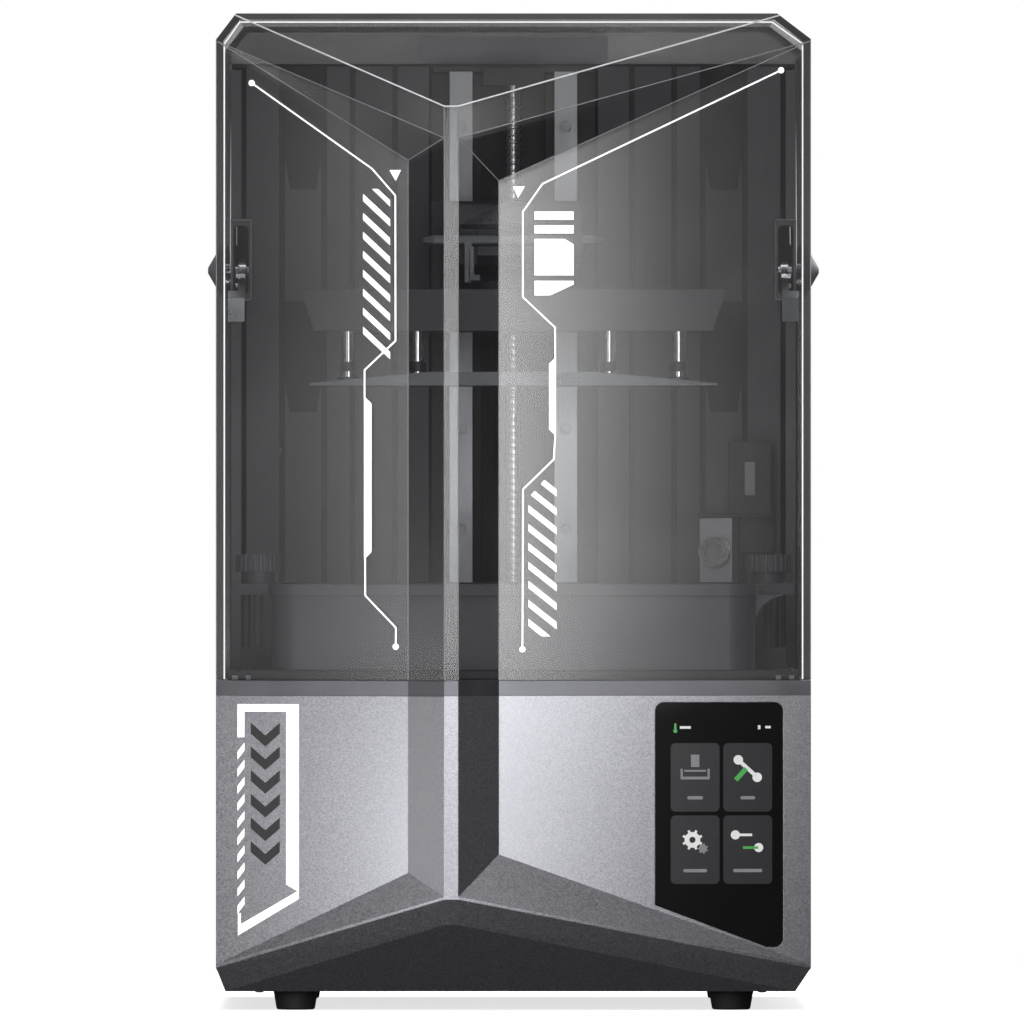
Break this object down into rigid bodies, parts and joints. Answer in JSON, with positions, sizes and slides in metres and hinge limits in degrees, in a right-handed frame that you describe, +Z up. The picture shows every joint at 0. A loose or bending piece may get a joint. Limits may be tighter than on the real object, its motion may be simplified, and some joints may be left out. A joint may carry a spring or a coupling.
{
  "type": "resin 3d printer",
  "caption": "Desktop resin printer: faceted base with a touch screen, tilting vat, screw-driven build plate on two rails and a smoked lid hinged at the back.",
  "frame": {"origin": "middle of the bounding box at the table, under the rubber feet", "axes": "+Z up, the faceted front faces -Y, +X to the right seen from the front"},
  "size_m": [0.3436, 0.329, 0.548],
  "materials": {
    "painted_grey": "sparkle grey coat, satin",
    "dark_sheet": "fine textured powder coat",
    "foot_rubber": "matt",
    "smooth_grey": "smooth satin",
    "dark_abs": "fine spark texture",
    "touch_glass": "gloss black",
    "black_nylon": "satin",
    "plated_steel": "zinc plated",
    "board_green": "solder mask",
    "board_white": "white solder mask",
    "sink_aluminium": "extruded",
    "clear_lens": "clear",
    "tray_metal": "black anodised",
    "panel_black": "polarised glass",
    "clear_film": "clear film",
    "nut_brass": "machined",
    "bright_posts": "polished",
    "plate_aluminium": "blasted",
    "camera_grey": "satin",
    "smoke_lid": "clear smoke tint"
  },
  "bodies": {
    "frame": {"base_housing": "painted_grey", "bottom_plate": "dark_sheet", "rear_panel": "dark_sheet", "rubber_feet": "foot_rubber", "trim_band": "smooth_grey", "deck_frame": "dark_abs", "screen_glass": "touch_glass", "screen_module": "dark_abs", "power_inlet": "black_nylon", "switch_body": "black_nylon", "usb_port": "plated_steel", "rear_fan_frame": "black_nylon", "power_supply": "plated_steel", "mainboard": "board_green", "light_housing": "dark_abs", "led_board": "board_white", "heatsink": "sink_aluminium", "collimator_lens": "clear_lens", "light_fan_frame": "black_nylon", "tilt_pins": "plated_steel", "tilt_brackets": "dark_sheet", "tilt_motor": "black_nylon", "tower_cover": "dark_sheet", "tower_front": "dark_abs", "tower_cap": "smooth_grey", "side_column_left": "smooth_grey", "side_column_right": "smooth_grey", "side_cheeks": "dark_sheet", "lift_column": "tray_metal", "guide_rails": "plated_steel", "screw_bearing": "tray_metal", "lift_motor": "black_nylon", "camera_bracket": "dark_abs", "camera_body": "camera_grey", "camera_lens": "panel_black", "chamber_light": "dark_abs", "hinge_pins": "plated_steel"},
    "switch": {"switch_rocker": "black_nylon"},
    "rear_fan": {"rear_fan_rotor": "black_nylon"},
    "light_fan": {"light_fan_rotor": "black_nylon"},
    "tray": {"tilt_tray": "tray_metal", "lcd_panel": "panel_black"},
    "vat": {"vat_body": "tray_metal", "film_frame": "sink_aluminium", "release_film": "clear_film"},
    "knob_left": {"vat_knob_left": "black_nylon"},
    "knob_right": {"vat_knob_right": "black_nylon"},
    "pushrod": {"tilt_pushrod": "plated_steel"},
    "screw": {"lead_screw": "plated_steel"},
    "carriage": {"lift_carriage": "tray_metal", "lead_nut": "nut_brass", "arm": "tray_metal", "plate_hub": "tray_metal", "plate_bracket": "tray_metal", "plate_posts": "bright_posts", "build_plate": "plate_aluminium"},
    "lever": {"release_lever": "plate_aluminium"},
    "lid": {"lid_shell": "smoke_lid", "lid_hinge_arms": "plated_steel", "hinge_caps": "camera_grey"}
  },
  "joints": [
    {"name": "lid_hinge", "type": "hinge", "parent": "frame", "child": "lid", "pos_m": [0, 0.115, 0.4095], "axis": [-1, 0, 0], "range_deg": [0, 60]},
    {"name": "lift_slide", "type": "slide", "parent": "frame", "child": "carriage", "axis": [0, 0, 1], "range_m": [-0.155, 0.062]},
    {"name": "screw_spin", "type": "hinge", "parent": "frame", "child": "screw", "pos_m": [0, 0.088, 0.3], "axis": [0, 0, 1], "continuous": true},
    {"name": "tray_tilt", "type": "hinge", "parent": "frame", "child": "tray", "pos_m": [0, 0.086, 0.181], "axis": [1, 0, 0], "range_deg": [0, 4]},
    {"name": "pushrod_slide", "type": "slide", "parent": "frame", "child": "pushrod", "axis": [0, 0, -1], "range_m": [0, 0.0132]},
    {"name": "vat_lift", "type": "slide", "parent": "tray", "child": "vat", "axis": [0, 0, 1], "range_m": [0, 0.04]},
    {"name": "knob_left_turn", "type": "hinge", "parent": "vat", "child": "knob_left", "pos_m": [-0.1416, -0.022, 0.24], "axis": [0, 0, 1], "range_deg": [0, 1080]},
    {"name": "knob_right_turn", "type": "hinge", "parent": "vat", "child": "knob_right", "pos_m": [0.1416, -0.022, 0.24], "axis": [0, 0, 1], "range_deg": [0, 1080]},
    {"name": "lever_turn", "type": "hinge", "parent": "carriage", "child": "lever", "pos_m": [0, -0.06, 0.424], "axis": [-1, 0, 0], "range_deg": [0, 75]},
    {"name": "switch_rock", "type": "hinge", "parent": "frame", "child": "switch", "pos_m": [-0.112, 0.1595, 0.084], "axis": [-1, 0, 0], "range_deg": [0, 22]},
    {"name": "rear_fan_spin", "type": "hinge", "parent": "frame", "child": "rear_fan", "pos_m": [0.096, 0.155, 0.072], "axis": [0, 1, 0], "continuous": true},
    {"name": "light_fan_spin", "type": "hinge", "parent": "frame", "child": "light_fan", "pos_m": [0.062, 0.0577, 0.0327], "axis": [0, 1, 0], "continuous": true}
  ],
  "couplings": [
    {"joint": "screw_spin", "follows": "lift_slide", "rad_per_m": -1570.8},
    {"joint": "pushrod_slide", "follows": "tray_tilt", "m_per_rad": 0.186}
  ]
}
